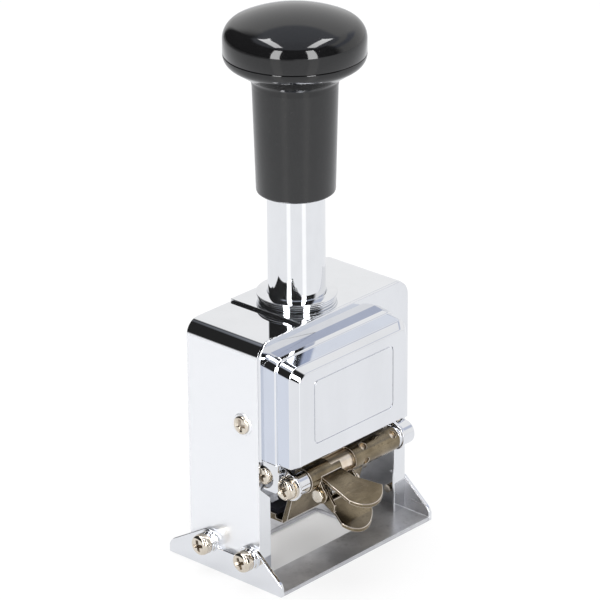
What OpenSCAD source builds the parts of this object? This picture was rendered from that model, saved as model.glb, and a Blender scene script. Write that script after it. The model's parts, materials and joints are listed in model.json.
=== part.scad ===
// Hand-pressed numbering machine with a sprung plunger, six number wheels
// and a swinging ink holder. Millimetres. The plunger axis is the Z axis,
// the front cover faces -Y and the underside of the base lies on Z = 0.

/* [Base] */
// sheet thickness of the base
base_t = 1.3; // [1:0.1:2]
// front edge of the base, ahead of the plunger axis
base_front = 22.8; // [20:0.1:28]
// rear edge of the base, behind the plunger axis
base_rear = 20.6; // [18:0.1:26]
// radius of the round ears on the flanges
ear_r = 3.8; // [3.5:0.1:5]
// height of the ear centres
ear_z = 8.3; // [7:0.1:11]
// rear ear centre, behind the axis
ear_rear = 5.2; // [4:0.1:8]
// front ear centre, behind the front face of the shells
ear_in = 2.7; // [2.6:0.1:5]
// front edge of the print opening, ahead of the axis
slot_front = 11.5; // [9:0.1:14]
// rear edge of the print opening, behind the axis
slot_rear = 5.8; // [4:0.1:8]

/* [Housing] */
// half width of the housing
body_half = 31; // [29:0.1:34]
// front face of the shells, ahead of the axis
body_front = 13.5; // [12:0.1:15]
// rear face of the shells, behind the axis
body_rear = 13.3; // [12:0.1:15]
// sheet thickness of the shells
wall = 0.8; // [0.6:0.1:1.2]
// underside of the lower top layer
top_z = 72.8; // [68:0.1:76]
// outside radius of the top bends
bend_r = 4.5; // [3:0.1:6]
// width of the front and rear strips
strip_w = 4.7; // [3:0.1:6]
// thickness of the front plate
plate_t = 1; // [0.8:0.1:1.5]
// corner radius at the top of the front plate
plate_r = 5; // [3:0.1:7]

/* [Face cover] */
// margin between the left side of the cover and the side of the housing
cover_margin = 0.8; // [0.2:0.1:2]
// right side of the first step
cover_right = 19.8; // [17:0.1:24]
// top of the first step
cover_top = 70.6; // [66:0.1:72]
// bottom of the cover
cover_bottom = 38.6; // [37:0.1:42]
// depth of the first step
step_1 = 5.3; // [4:0.1:7]
// depth of the second step
step_2 = 4.5; // [3:0.1:6]
// depth of the bevelled front step
step_3 = 1.7; // [1:0.1:3]
// inset of the second step
inset_2 = 0.7; // [0.4:0.1:1.5]
// inset of the front face behind its bevel
inset_3 = 2.8; // [1.5:0.1:4]
// width of the label recess
label_w = 33; // [28:0.5:36]
// height of the label recess
label_h = 19.2; // [14:0.1:22]
// middle of the label recess above the sole
label_z = 54.1; // [50:0.1:58]

/* [Handle] */
// radius of the handle head
knob_r = 19.9; // [17:0.1:23]
// height of the seam round the head
knob_z = 148.4; // [146:0.1:156]
// height of the upright side of the cap
cap_side = 2.7; // [1:0.1:4]
// radius of the rounded edge of the cap
cap_edge = 3.4; // [2:0.1:5]
// radius of the domed top
dome_r = 44.8; // [30:0.2:80]
// radius of the rounded edge under the seam
bowl_r = 3.6; // [2.5:0.1:4]
// radius of the grip sleeve at its top
grip_top_r = 11.95; // [10:0.05:14]
// radius of the grip sleeve at its bottom
grip_low_r = 11.1; // [9:0.05:13]
// top of the grip sleeve
grip_top = 138; // [130:0.5:142]
// bottom of the grip sleeve
grip_low = 106.7; // [100:0.1:112]
// radius of the stem
stem_r = 8.15; // [7:0.05:9]
// travel of the plunger
travel = 18; // [12:0.5:18]

/* [Wheels] */
// distance of the wheel shaft ahead of the plunger axis
axis_y = 2.5; // [2:0.1:3]
// radius over the type blocks
type_r = 9.5; // [9:0.1:9.5]
// radius of the wheel shaft
shaft_r = 2; // [1.6:0.1:2.2]
// running clearance of turning parts, on the radius
run = 0.05; // [0.02:0.01:0.1]
// middle of the wheel pack, left of the axis
pack_left = 5; // [4.8:0.1:5.2]

/* [Ink holder] */
// hinge rod, ahead of the axis
rod_y = 19.7; // [19:0.1:20.5]
// hinge rod height
rod_z = 30.7; // [30:0.1:31.5]
// radius of the hinge rod
rod_r = 1.5; // [1.2:0.1:1.8]
// outside radius of the hinge tube
tube_r = 3.65; // [3.3:0.05:4]
// sheet thickness of the ink holder
ink_t = 0.8; // [0.6:0.1:1]
// width of the upper finger lever
lever_w = 13.8; // [12.5:0.1:15]
// clip pin, ahead of the axis
pin_y = 23; // [22.8:0.1:23.2]
// clip pin height
pin_z = 26.2; // [26:0.1:26.4]

/* [Hidden] */
$fn = 64;

// the flanges of the base stand outside the shells
base_half = body_half + base_t;
ear_front = body_front - ear_in;
cover_left = body_half - cover_margin;
// guide rods and springs beside the carriage, wheels in the width they leave
guide_x = body_half - 5;
guide_r = 1.4;
spring_r = 2.4;
pitch = (guide_x - 7.2 - pack_left) / 3;
// ink arms, set in from the sides of the cover
arm_l = 5 - cover_left;
arm_r = cover_right - 1.2;
arm_t = 1.2;
lever_left = -arm_l - 8.7;
// heights that follow from the wheels: type stops just above the sole plane
axis_z = type_r + travel + 0.25;
pad_top = axis_z - type_r - 0.35;
upper_z = top_z + wall;
roof_z = upper_z + wall;
plate_y = body_front + plate_t;
face_y = plate_y + step_1 + step_2 + step_3;
// carriage stations along X
cheek_t = 1.2;
cheek_l = -pack_left - 3 * pitch - 3.6;
cheek_r = -pack_left + 3 * pitch + 2.4;
outer_l = cheek_r + cheek_t + 6.1;
outer_foot = guide_x - 3.1 - outer_l;
head_top = top_z - 2.8;
head_low = head_top - 3.5;
shelf_z = 36;
shelf_t = 1.5;
// screw that holds each ink arm
arm_y = 13.6;
arm_z = 34;
// ratchet and type ring share each wheel's thickness
wheel_t = pitch - 0.3;
type_t = wheel_t - 1.6;
ratchet_r = 7;
// rocker crossbar position about the wheel shaft at rest
bar_dist = 11.6;
bar_angle = 5;
detent_y = -7;
detent_z = axis_z + 10.45;

// cylinder along +X starting at x
module along_x(x, len, r, y = 0, z = 0)
  translate([x, y, z]) rotate([0, 90, 0]) cylinder(h = len, r = r);

// cut a profile drawn as (y, z) into a plate from x to x + len
module slab_x(x, len)
  translate([x, 0, 0]) rotate([90, 0, 90]) linear_extrude(len) children();

// cut a profile drawn as (x, z) into a plate from y to y + len
module slab_y(y, len)
  translate([0, y + len, 0]) rotate([90, 0, 0]) linear_extrude(len) children();

// two flats of a cross slot in a screw head, lying across X
module cross_slot(x, len, w, span, y, z) {
  translate([x, y - span / 2, z - w / 2]) cube([len, span, w]);
  translate([x, y - w / 2, z - span / 2]) cube([len, w, span]);
}

// low domed screw head along +X from its seat at x
module pan_head(x, len, r, y, z) {
  along_x(x, len * 0.55, r, y, z);
  translate([x + len * 0.55, y, z]) rotate([0, 90, 0]) cylinder(h = len * 0.25, r1 = r, r2 = r * 0.9);
  translate([x + len * 0.8, y, z]) rotate([0, 90, 0]) cylinder(h = len * 0.2, r1 = r * 0.9, r2 = r * 0.66);
}

// rectangle with round corners between two opposite corners
module round_rect(x0, z0, x1, z1, r) {
  translate([x0 + r, z0]) square([x1 - x0 - 2 * r, z1 - z0]);
  translate([x0, z0 + r]) square([x1 - x0, z1 - z0 - 2 * r]);
  for (x = [x0 + r, x1 - r])
    for (z = [z0 + r, z1 - r])
      translate([x, z]) circle(r);
}

// ---- base ----

// side outline of a flange with its two ears
module flange_outline() {
  difference() {
    union() {
      polygon([
        [-base_front, 0], [base_rear - 0.6, 0], [base_rear, 0.8], [base_rear, 2.4], [base_rear - 0.5, 3.5],
        [base_rear - 1.8, 4.7], [ear_rear + ear_r * 0.508, ear_z + ear_r * 0.861], [ear_rear, ear_z],
        [ear_rear - 4, ear_z - 0.8], [-ear_front + 4, ear_z - 0.8], [-ear_front, ear_z],
        [-ear_front - ear_r * 0.588, ear_z + ear_r * 0.809], [-base_front + 1.6, 4.7],
        [-base_front + 0.5, 3.7], [-base_front, 2.5]
      ]);
      translate([ear_rear, ear_z]) circle(ear_r);
      translate([-ear_front, ear_z]) circle(ear_r);
    }
    translate([ear_rear, ear_z]) circle(1.2);
    translate([-ear_front, ear_z]) circle(1.2);
  }
}

module base_channel() color("silver") {
  difference() {
    translate([-base_half, -base_front, 0]) cube([2 * base_half, base_front + base_rear, base_t]);
    translate([-pack_left - 3 * pitch - 5.2, -slot_front, -1])
      cube([6 * pitch + 10.4, slot_front + slot_rear, base_t + 2]);
  }
  difference() {
    for (x = [-base_half, base_half - base_t])
      slab_x(x, base_t) flange_outline();
    for (y = [ear_rear, -ear_front])
      sunk_head(y);
  }
}

// countersunk head lying flush in the right flange
module sunk_head(y)
  translate([base_half - 1.1, y, ear_z]) rotate([0, 90, 0]) cylinder(h = 1.1, r1 = 1.2, r2 = 2.3);

module base_washers() color("gainsboro")
  mirror([1, 0, 0])
    for (y = [ear_rear, -ear_front])
      difference() {
        union() {
          along_x(base_half, 0.6, 3.4, y, ear_z);
          along_x(base_half + 0.6, 0.9, 2.9, y, ear_z);
        }
        along_x(base_half - 1, 4, 1.2, y, ear_z);
        translate([base_half + 0.6, y - 0.25, ear_z]) cube([0.9, 0.5, 4]);
      }

// screws with pan heads through the left flange
module base_screws() color("tan")
  mirror([1, 0, 0])
    for (y = [ear_rear, -ear_front])
      difference() {
        union() {
          pan_head(base_half + 1.5, 2.8, 3.05, y, ear_z);
          along_x(body_half - wall - 2.2, base_half + 1.6 - body_half + wall + 2.2, 1.2, y, ear_z);
        }
        cross_slot(base_half + 2.9, 2, 0.8, 3.6, y, ear_z);
      }

// screws with flush heads through the right flange
module sunk_screws() color("tan")
  for (y = [ear_rear, -ear_front])
    difference() {
      union() {
        sunk_head(y);
        along_x(body_half - wall - 4, base_half - 1.1 - body_half + wall + 4, 1.2, y, ear_z);
      }
      cross_slot(base_half - 0.5, 1, 0.5, 2.6, y, ear_z);
    }

// flats of the nuts clear the strips of the shells
nut_r = (ear_in - wall - 0.1) / cos(30);

module base_nuts() color("silver")
  for (s = [0, 1])
    mirror([s, 0, 0])
      for (y = [ear_rear, -ear_front])
        difference() {
          translate([body_half - wall - 1.8, y, ear_z]) rotate([0, 90, 0])
            cylinder(h = 1.8, r = nut_r, $fn = 6);
          along_x(body_half - 4, 4, 1.2, y, ear_z);
        }

// ---- housing ----

// upright wall with a rounded bend into the roof, seen along Y
module bend_profile(z_top, reach) {
  inner = bend_r - wall;
  translate([body_half - wall, base_t]) square([wall, z_top - bend_r - base_t]);
  translate([body_half - bend_r, z_top - bend_r])
    intersection() {
      difference() {
        circle(bend_r);
        circle(inner);
      }
      square(bend_r + 1);
    }
  translate([-reach, z_top - wall]) square([reach + body_half - bend_r, wall]);
}

// strip folded in at the front or rear foot of a wall
module strip_outline(cut)
  polygon([
    [body_half, base_t], [body_half - strip_w, base_t], [body_half - strip_w, 26 + cut],
    [body_half - wall, 29.8 + cut], [body_half, 29.8 + cut]
  ]);

// one shell, drawn for the right side
module shell(z_top, reach) {
  difference() {
    union() {
      translate([0, body_rear, 0]) rotate([90, 0, 0])
        linear_extrude(body_front + body_rear) bend_profile(z_top, reach);
      slab_y(-body_front, wall) strip_outline(0);
      slab_y(body_rear - wall, wall) strip_outline(6);
      slab_y(-body_front, wall) translate([body_half - 2.6, 41]) square([2.6, 24]);
    }
    cylinder(h = 100, r = 9.6);
    along_x(body_half - 3, 6, 1.2, ear_rear, ear_z);
    along_x(body_half - 3, 6, 1.2, -ear_front, ear_z);
    along_x(body_half - 3, 6, 1.4, -7.7, 48.3);
  }
}

module left_shell() color("silver") mirror([1, 0, 0]) shell(upper_z, 12);
module right_shell() color("silver") shell(roof_z, 13);

module front_plate() color("silver")
  difference() {
    union() {
      slab_y(-plate_y, plate_t)
        difference() {
          union() {
            translate([-body_half, cover_bottom]) square([2 * body_half, roof_z - plate_r - cover_bottom]);
            translate([-body_half + plate_r, roof_z - plate_r - 1])
              square([2 * (body_half - plate_r), plate_r + 1]);
            for (s = [-1, 1])
              translate([s * (body_half - plate_r), roof_z - plate_r]) circle(plate_r);
            translate([body_half - 2.6, cover_bottom - 7.6]) square([2.6, 10]);
          }
          // window behind the face cover
          translate([-cover_left + 8.2, cover_bottom + 2])
            square([cover_left + cover_right - 14, cover_top - cover_bottom - 6]);
        }
      // tabs that carry the ink arms
      for (x = [arm_l + 1, arm_r - 1])
        slab_x(x, 1)
          polygon([
            [-plate_y, cover_bottom + 3.4], [-plate_y, arm_z + 3.6], [-arm_y - 3, arm_z + 2.4],
            [-arm_y - 3, arm_z - 1.6], [-arm_y - 1.8, arm_z - 3.2], [-arm_y + 2.2, arm_z - 3.2],
            [-arm_y + 3.2, arm_z - 2], [-arm_y + 3.2, arm_z + 2], [-body_front, arm_z + 4.6],
            [-body_front, cover_bottom + 3.4]
          ]);
    }
    along_x(arm_l - 1, arm_r - arm_l + 2, 1.2, -arm_y, arm_z);
  }

// front view of one step of the face cover
module step_outline(inset)
  round_rect(-cover_left + inset, cover_bottom, cover_right - inset, cover_top - inset, 3.6 - inset / 2);

// triangle that bevels an edge: a is the edge, d points into the face
function bevel(a, d, run_in) = [
  [a - d, -face_y + step_3 + step_3 / run_in], [a - d, -face_y - 1],
  [a + d * (run_in + run_in / step_3), -face_y - 1]
];

module face_cover() color("silver") {
  label_x = (cover_right - cover_left) / 2;
  run_in = inset_3 - inset_2;
  difference() {
    union() {
      slab_y(-plate_y - step_1, step_1) step_outline(0);
      slab_y(-face_y, step_2 + step_3 + 0.01) step_outline(inset_2);
      // cheek lug on the left, round the arm screw
      slab_x(-cover_left, 0.8)
        difference() {
          union() {
            translate([-plate_y - step_1, 31.4]) square([step_1, 12]);
            translate([-plate_y - step_1 + 1, 30.4]) square([step_1 - 1, 2]);
            translate([-plate_y - step_1 + 1, 31.4]) circle(1);
          }
          translate([-arm_y - 1.3, arm_z + 0.3]) circle(3.3);
        }
    }
    // bevels round the front face: left, right, top and a small one below
    translate([0, 0, 30]) linear_extrude(50) polygon(bevel(-cover_left + inset_2, 1, run_in));
    translate([0, 0, 30]) linear_extrude(50) polygon(bevel(cover_right - inset_2, -1, run_in));
    slab_x(-40, 80) polygon([for (p = bevel(cover_top - inset_2, -1, run_in + 0.8)) [p[1], p[0]]]);
    slab_x(-40, 80) polygon([for (p = bevel(cover_bottom, 1, 1)) [p[1], p[0]]]);
    // hollow inside
    slab_y(-plate_y - step_1 + 0.8, step_1) round_rect(
      -cover_left + 0.9, cover_bottom + 0.9, cover_right - 0.9, cover_top - 0.9, 2.6);
    slab_y(-plate_y - step_1 - step_2 + 0.8, step_1 + step_2) round_rect(
      -cover_left + 1.8, cover_bottom + 0.9, cover_right - 1.8, cover_top - 1.8, 2.2);
    // bare label recess
    slab_y(-face_y - 1, 1.35) round_rect(
      label_x - label_w / 2, label_z - label_h / 2, label_x + label_w / 2, label_z + label_h / 2, 1.6);
  }
}

module rear_plate() color("silver")
  slab_y(body_rear - wall - 0.8, 0.8) {
    translate([-body_half + wall, 38]) square([2 * (body_half - wall), upper_z - bend_r - 38]);
    translate([-body_half + bend_r, 60]) square([2 * (body_half - bend_r), top_z - 60]);
    for (s = [-1, 1])
      translate([s * (body_half - bend_r), upper_z - bend_r]) circle(bend_r - wall);
  }

// shallow cup and oval screw on each wall
module wall_cups() color("silver")
  for (s = [0, 1])
    mirror([s, 0, 0])
      difference() {
        translate([body_half, -7.7, 48.3]) rotate([0, 90, 0]) cylinder(h = 0.4, r1 = 3.4, r2 = 3.1);
        along_x(body_half - 1, 3, 1.4, -7.7, 48.3);
      }

module wall_screws() color("tan")
  for (s = [0, 1])
    mirror([s, 0, 0])
      difference() {
        union() {
          translate([body_half + 0.4, -7.7, 48.3]) rotate([0, 90, 0]) cylinder(h = 0.6, r1 = 2.7, r2 = 1.9);
          along_x(body_half - wall - 1, wall + 1.5, 1.4, -7.7, 48.3);
        }
        cross_slot(body_half + 0.5, 1, 0.6, 2.8, -7.7, 48.3);
      }

// bracket drawn for the right side: wall plate and spring shelf
module guide_bracket() {
  difference() {
    union() {
      translate([body_half - wall - 1, -10.5, shelf_z]) cube([1, 14, 19]);
      translate([guide_x - 3.2, -3.5, shelf_z]) cube([body_half - wall - guide_x + 3.2, 7, shelf_t]);
    }
    along_x(body_half - 4, 4, 1.4, -7.7, 48.3);
    translate([guide_x, 0, shelf_z - 1]) cylinder(h = 5, r = guide_r);
  }
}

module guide_bracket_left() color("slategray") mirror([1, 0, 0]) guide_bracket();
module guide_bracket_right() color("slategray") guide_bracket();

module guide_rods() color("silver") {
  translate([-guide_x, 0, shelf_z]) cylinder(h = top_z - shelf_z, r = guide_r);
  translate([guide_x, 0, shelf_z]) cylinder(h = upper_z - shelf_z, r = guide_r);
}

// each spring is drawn as a stack of closed turns joined by two thin uprights
module return_springs() color("lightsteelblue") {
  z0 = shelf_z + shelf_t;
  turns = 9;
  step = (head_low - z0 - 0.7) / turns;
  for (x = [-guide_x, guide_x])
    translate([x, 0, z0]) {
      for (k = [0:turns])
        translate([0, 0, k * step + 0.35]) rotate_extrude($fn = 40)
          translate([spring_r, 0]) circle(0.35, $fn = 14);
      for (a = [0, 180])
        rotate([0, 0, a]) translate([spring_r - 0.15, -0.2, 0.35]) cube([0.3, 0.4, turns * step]);
    }
}

module collar_bush() color("silver")
  difference() {
    union() {
      translate([0, 0, roof_z]) cylinder(h = 0.8, r = 11);
      translate([0, 0, roof_z + 0.8]) cylinder(h = 0.7, r = 11.25);
      translate([0, 0, roof_z + 1.5]) cylinder(h = 0.7, r = 11.45);
      translate([0, 0, top_z - 2]) cylinder(h = roof_z - top_z + 2, r = 9.6);
    }
    translate([0, 0, top_z - 3]) cylinder(h = 10, r = stem_r + run);
  }

module collar_nut() color("silver")
  difference() {
    translate([0, 0, top_z - 2]) cylinder(h = 2, r = 13, $fn = 6);
    translate([0, 0, top_z - 3]) cylinder(h = 4, r = 9.6);
  }

// ---- handle and carriage ----

// the rounded edge of the cap and the dome above it share a tangent
dome_turn = asin((knob_r - cap_edge) / (dome_r - cap_edge));
edge_z = knob_z + cap_side;
dome_z = edge_z - (dome_r - cap_edge) * cos(dome_turn);

module knob_cap() color("black")
  rotate_extrude($fn = 96)
    polygon(concat(
      [[0, knob_z], [knob_r - 0.35, knob_z], [knob_r, knob_z + 0.35]],
      [for (k = [0:10]) let (a = k * (90 - dome_turn) / 10)
        [knob_r - cap_edge + cap_edge * cos(a), edge_z + cap_edge * sin(a)]],
      [for (k = [9:-1:0]) let (a = k * dome_turn / 10) [dome_r * sin(a), dome_z + dome_r * cos(a)]]
    ));

// underside of the head: rounded edge, slope and a hollow run into the neck
neck_r = grip_top_r + 0.15;
neck_z = grip_top + 1.8;
slope_r = knob_r - neck_r - (1 - cos(60)) * (2 + bowl_r);
bowl_z = neck_z + sin(60) * 2 + slope_r / tan(60) + sin(60) * bowl_r;

module knob_flare() color("black")
  difference() {
    rotate_extrude($fn = 96)
      polygon(concat(
        [[0, grip_top], [neck_r, grip_top]],
        [for (a = [0:10:60]) [neck_r + 2 * (1 - cos(a)), neck_z + 2 * sin(a)]],
        [for (a = [60:-10:0]) [knob_r - bowl_r * (1 - cos(a)), bowl_z - bowl_r * sin(a)]],
        [[knob_r, knob_z - 0.3], [knob_r - 0.3, knob_z], [0, knob_z]]
      ));
    translate([0, 0, grip_top - 1]) cylinder(h = 7, r = stem_r);
  }

module grip_sleeve() color("black")
  difference() {
    rotate_extrude($fn = 96)
      polygon([
        [0, grip_low], [grip_low_r - 0.6, grip_low], [grip_low_r, grip_low + 0.6],
        [grip_top_r, grip_top - 0.3], [grip_top_r - 0.3, grip_top], [0, grip_top]
      ]);
    translate([0, 0, grip_low - 1]) cylinder(h = 40, r = stem_r);
  }

module plunger_stem() color("silver")
  difference() {
    translate([0, 0, head_low - 3]) cylinder(h = grip_top + 6 - head_low + 3, r = stem_r);
    translate([0, 0, head_low - 4]) cylinder(h = grip_top - head_low, r = stem_r - 1.6);
  }

module stem_nut() color("silver")
  difference() {
    translate([0, 0, head_low - 3]) cylinder(h = 3, r = 11, $fn = 6);
    translate([0, 0, head_low - 4]) cylinder(h = 5, r = stem_r);
  }

// places of the screws that hold the cheek feet
screw_x = [cheek_l + 4.2, cheek_r + 4.2, outer_l + 2.6];
screw_y = 6.4;

module crosshead() color("slategray")
  difference() {
    union() {
      translate([-guide_x - 2.8, -3.6, head_low]) cube([2 * guide_x + 5.6, 7.2, head_top - head_low]);
      translate([cheek_l - 1.6, -10, head_low])
        cube([outer_l + outer_foot - cheek_l + 1.5, 20, head_top - head_low]);
    }
    translate([0, 0, head_low - 1]) cylinder(h = 6, r = stem_r);
    for (x = [-guide_x, guide_x])
      translate([x, 0, head_low - 1]) cylinder(h = 6, r = guide_r + run);
    for (x = screw_x)
      for (y = [-screw_y, screw_y])
        translate([x, y, head_low - 1]) {
          cylinder(h = 6, r = 1);
          translate([0, 0, head_top - 1.4 - head_low + 1]) cylinder(h = 2, r = 2);
        }
  }

// side view shared by the hanging plates
module cheek_outline(rear)
  difference() {
    union() {
      polygon([
        [-9, head_low], [-9, 40], [-7.6, 34], [-6.6, axis_z], [-5, axis_z - 4.6], [0, axis_z - 4.6],
        [1.8, axis_z], [rear, 36], [rear, head_low]
      ]);
      translate([-axis_y, axis_z]) circle(4.7);
    }
    translate([-axis_y, axis_z]) circle(shaft_r);
    translate([0.5, 50]) circle(5.5);
  }

module hanging_plate(x, foot) {
  slab_x(x, cheek_t) cheek_outline(8);
  difference() {
    translate([x, -9, head_low - 1.2]) cube([foot, 17, 1.2]);
    translate([0, 0, head_low - 4]) cylinder(h = 5, r = 12);
    for (x = screw_x)
      for (y = [-screw_y, screw_y])
        translate([x, y, head_low - 2]) cylinder(h = 3, r = 1);
  }
}

module left_cheek() color("gainsboro")
  difference() {
    hanging_plate(cheek_l, 6.4);
    along_x(cheek_l - 1, 4, 1.1, detent_y, detent_z);
  }

module right_cheek() color("gainsboro")
  difference() {
    hanging_plate(cheek_r, 5.9);
    along_x(cheek_r - 1, 4, 1.1, detent_y, detent_z);
  }

module selector_plate() color("gainsboro") hanging_plate(outer_l, outer_foot);

module cheek_screws() color("tan")
  for (x = screw_x)
    for (y = [-screw_y, screw_y])
      translate([x, y, 0])
        difference() {
          union() {
            translate([0, 0, head_low - 1.8]) cylinder(h = head_top - head_low + 0.8, r = 1);
            translate([0, 0, head_top - 1.4]) cylinder(h = 1.3, r = 2);
          }
          translate([-1.2, -0.3, head_top - 0.7]) cube([2.4, 0.6, 1]);
          translate([-0.3, -1.2, head_top - 0.7]) cube([0.6, 2.4, 1]);
        }

module wheel_shaft() color("silver")
  along_x(cheek_l - 1.2, outer_l + cheek_t + 1.2 - cheek_l + 1.2, shaft_r, -axis_y, axis_z);

module shaft_clips() color("slategray")
  for (x = [cheek_l - 0.8, outer_l + cheek_t])
    difference() {
      along_x(x, 0.8, 3.4, -axis_y, axis_z);
      along_x(x - 1, 3, shaft_r, -axis_y, axis_z);
      translate([x - 1, -axis_y - 0.9, axis_z - 5]) cube([3, 1.8, 3.4]);
    }

// ---- number wheels ----

// ten-tooth ratchet, steep on one side
module ratchet_shape()
  polygon([for (k = [0:9]) for (e = [0, 1])
    [(e == 0 ? ratchet_r : ratchet_r - 1.1) * cos(36 * k + 4 * e),
     (e == 0 ? ratchet_r : ratchet_r - 1.1) * sin(36 * k + 4 * e)]]);

module number_wheel(k) {
  x0 = -pack_left + (k - 3.5) * pitch - wheel_t / 2;
  translate([x0, -axis_y, axis_z]) rotate([90, 0, 90])
    difference() {
      union() {
        cylinder(h = type_t, r = type_r - 0.9);
        linear_extrude(wheel_t) ratchet_shape();
        // ten raised type blocks
        for (a = [0:36:324])
          rotate([0, 0, a + 18]) translate([type_r - 1.6, -1.7, 0.15]) cube([1.43, 3.4, type_t - 0.3]);
      }
      translate([0, 0, -1]) cylinder(h = wheel_t + 2, r = shaft_r + run);
      translate([0, 0, -0.01])
        difference() {
          cylinder(h = 0.6, r = type_r - 2);
          cylinder(h = 1, r = 3.6);
        }
    }
}

module number_wheel_1() color("lightgray") number_wheel(1);
module number_wheel_2() color("lightgray") number_wheel(2);
module number_wheel_3() color("lightgray") number_wheel(3);
module number_wheel_4() color("lightgray") number_wheel(4);
module number_wheel_5() color("lightgray") number_wheel(5);
module number_wheel_6() color("lightgray") number_wheel(6);

// middle of the ratchet gap beside wheel k
function gap_x(k) = -pack_left + (k - 3.5) * pitch - wheel_t / 2 + type_t + (wheel_t - type_t) / 2;

module detent_bar() color("silver")
  along_x(cheek_l, cheek_r + cheek_t - cheek_l, 1.1, detent_y, detent_z);

module detent_fingers() color("goldenrod")
  for (k = [1:6])
    slab_x(gap_x(k) - 0.5, 1)
      difference() {
        union() {
          translate([detent_y, detent_z]) circle(1.9);
          polygon([
            [detent_y - 1.9, detent_z], [detent_y - 1.2, detent_z - 3.2], [detent_y + 1.6, axis_z + 6.9],
            [detent_y + 2.4, axis_z + 7.3], [detent_y + 1.5, detent_z - 2], [detent_y + 1.9, detent_z]
          ]);
          translate([detent_y, detent_z]) square([1.2, 4.2]);
        }
        translate([detent_y, detent_z]) circle(1.1);
      }

// comb spring: its block is held between the cheeks, one leaf per detent finger
module detent_spring() color("lightsteelblue") {
  translate([cheek_l + cheek_t, detent_y + 4.6, detent_z + 6]) cube([cheek_r - cheek_l - cheek_t, 2.4, 3]);
  for (k = [1:6])
    slab_x(gap_x(k) - 0.6, 1.2)
      polygon([
        [detent_y + 4.6, detent_z + 8], [detent_y + 4.2, detent_z + 8], [detent_y + 1.2, detent_z + 3.4],
        [detent_y + 1.2, detent_z + 2.6], [detent_y + 1.6, detent_z + 2.6], [detent_y + 4.6, detent_z + 7.2]
      ]);
}

bar_y = -axis_y + bar_dist * cos(bar_angle);
bar_z = axis_z + bar_dist * sin(bar_angle);
rocker_l = -pack_left - 3 * pitch - 1.8;
rocker_r = -pack_left + 3 * pitch + 0.8;

module feed_rocker() color("gainsboro") {
  for (x = [rocker_l, rocker_r])
    slab_x(x, 1)
      difference() {
        union() {
          translate([-axis_y, axis_z]) circle(4);
          translate([bar_y, bar_z]) circle(2.2);
          polygon([
            [-axis_y, axis_z + 4], [bar_y, bar_z + 2.2], [bar_y, bar_z - 2.2], [-axis_y, axis_z - 4]
          ]);
        }
        translate([-axis_y, axis_z]) circle(shaft_r + run);
      }
  along_x(rocker_l + 1, rocker_r - rocker_l - 1, 1.1, bar_y, bar_z);
}

module feed_pawls() color("goldenrod") {
  difference() {
    along_x(rocker_l + 1.3, rocker_r - rocker_l - 1.6, 1.65, bar_y, bar_z);
    along_x(rocker_l, rocker_r - rocker_l + 2, 1.1 + run, bar_y, bar_z);
  }
  for (k = [1:6])
    slab_x(gap_x(k) - 0.5, 1)
      difference() {
        polygon([
          [bar_y - 1.2, bar_z - 1.2], [bar_y - 4.4, bar_z - 2.6], [bar_y - 4.2, bar_z - 1.4],
          [bar_y - 1.5, bar_z + 0.8]
        ]);
        translate([bar_y, bar_z]) circle(1.1 + run);
      }
}

module repeat_selector() color("goldenrod") {
  x0 = cheek_r + cheek_t + 0.8;
  difference() {
    union() {
      along_x(x0, 4.2, 6.4, -axis_y, axis_z);
      translate([x0 + 1.3, -axis_y, axis_z - 1.4]) cube([1.6, 17, 2.8]);
      along_x(x0 + 0.3, 3.6, 1.9, 16.3 - axis_y, axis_z);
    }
    along_x(x0 - 1, 7, shaft_r + run, -axis_y, axis_z);
    for (a = [60:36:312])
      translate([x0 - 1, -axis_y, axis_z]) rotate([a, 0, 0])
        translate([0, 6.4, 0]) rotate([0, 90, 0]) cylinder(h = 7, r = 0.7);
  }
}

// ---- ink arms and hinge ----

module arm_outline()
  difference() {
    union() {
      translate([-rod_y, rod_z]) circle(4);
      translate([-arm_y, arm_z]) circle(3.2);
      polygon([
        [-rod_y - 1.6, rod_z + 3.65], [-arm_y - 1.4, arm_z + 2.9], [-arm_y + 1.4, arm_z - 2.9],
        [-rod_y + 1.6, rod_z - 3.65]
      ]);
    }
    translate([-rod_y, rod_z]) circle(rod_r);
    translate([-arm_y, arm_z]) circle(1.2);
  }

module ink_arm_left() color("silver") {
  slab_x(arm_l, 1) arm_outline();
  difference() {
    union() {
      along_x(arm_l + 1, 4.2, 3.3, -rod_y, rod_z);
      along_x(arm_l - 1.8, 1.8, 2.3, -arm_y, arm_z);
    }
    along_x(arm_l - 1, 10, rod_r, -rod_y, rod_z);
    along_x(arm_l - 3, 4, 1.2, -arm_y, arm_z);
  }
}

module ink_arm_right() color("silver") {
  hub_x = arm_r + arm_t;
  slab_x(arm_r, arm_t) arm_outline();
  difference() {
    union() {
      along_x(arm_r - 0.9, 0.9, 3.3, -rod_y, rod_z);
      along_x(hub_x, 4, 3.6, -rod_y, rod_z);
      translate([hub_x + 4, -rod_y, rod_z]) rotate([0, 90, 0]) cylinder(h = 0.9, r1 = 3.6, r2 = 2.6);
      along_x(hub_x, 2.8, 2.3, -arm_y, arm_z);
    }
    along_x(arm_r - 2, hub_x - arm_r + 6, rod_r, -rod_y, rod_z);
    along_x(arm_r - 1, 8, 1.2, -arm_y, arm_z);
  }
}

// flat and spring washer under each arm screw head
module arm_washers() color("gainsboro")
  for (x = [arm_l - 3.2, arm_r + arm_t + 2.8])
    difference() {
      union() {
        along_x(x, 1.4, 2.4, -arm_y, arm_z);
        along_x(x < 0 ? x + 0.8 : x, 0.6, 2.9, -arm_y, arm_z);
      }
      along_x(x - 1, 4, 1.2, -arm_y, arm_z);
    }

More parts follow.
